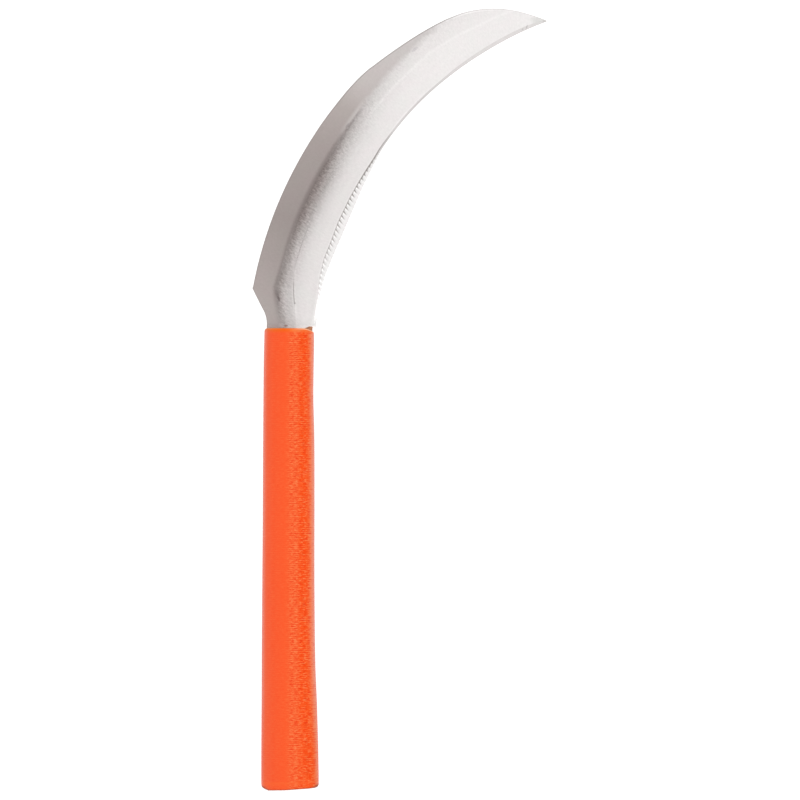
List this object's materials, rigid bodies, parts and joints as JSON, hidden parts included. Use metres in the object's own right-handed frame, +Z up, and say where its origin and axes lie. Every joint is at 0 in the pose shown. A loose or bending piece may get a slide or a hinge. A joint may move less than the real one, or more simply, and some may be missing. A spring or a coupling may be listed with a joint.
{
  "type": "harvest sickle",
  "caption": "Small hand sickle for harvest and pruning: curved stainless blade, toothed near the grip and plain toward the point, on a pinned wooden grip in a ribbed vinyl sleeve.",
  "frame": {"origin": "middle of the flat along the back of the grip, which lies on a surface", "axes": "+Y along the grip towards the blade, +X to the cutting side, +Z up out of the blade's front face"},
  "size_m": [0.1286, 0.3419, 0.015],
  "materials": {
    "blade_steel": "stamped stainless sheet, dull unground band along the back, ground face with fine lines across it",
    "grip_wood": "bare sawn hardwood",
    "pin_steel": "peened flush",
    "sleeve_vinyl": "orange vinyl with fine ribs across the grip, soft sheen"
  },
  "bodies": {
    "root": {"blade": "blade_steel", "scale_front": "grip_wood", "scale_back": "grip_wood", "pin_front": "pin_steel", "pin_middle": "pin_steel", "pin_rear": "pin_steel", "grip_sleeve": "sleeve_vinyl"}
  },
  "joints": []
}
